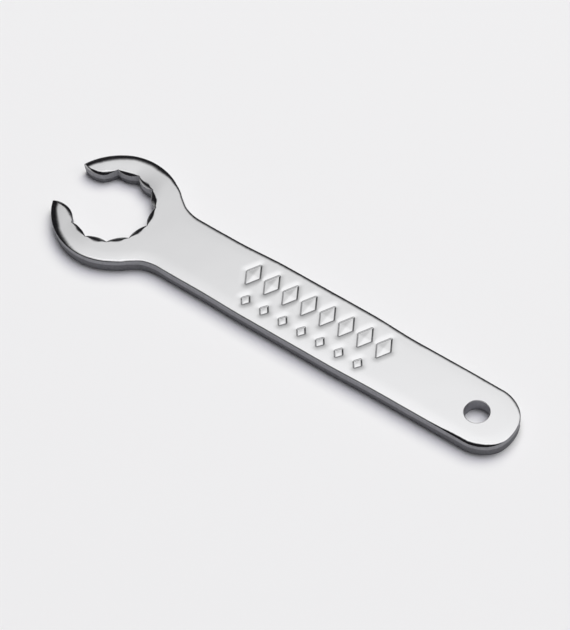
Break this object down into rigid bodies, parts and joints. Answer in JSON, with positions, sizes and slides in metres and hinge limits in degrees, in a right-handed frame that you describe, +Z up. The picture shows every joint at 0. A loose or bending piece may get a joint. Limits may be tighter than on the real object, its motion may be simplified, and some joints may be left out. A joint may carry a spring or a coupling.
{
  "type": "saddle tension spanner",
  "caption": "Flat stamped spanner with an open twelve-point jaw, a straight handle pressed with lozenge grip marks, and a hanging hole in its rounded end.",
  "frame": {"origin": "centre of the jaw, on the plane of the spanner's underside", "axes": "+X from the jaw's centre along the handle to the hanging hole, +Z up out of the marked top face, +Y to the left seen from the jaw"},
  "size_m": [0.0985, 0.0244, 0.003],
  "materials": {
    "plated_steel": "bright plated, polished flat"
  },
  "bodies": {
    "root": {"spanner": "plated_steel"}
  },
  "joints": []
}
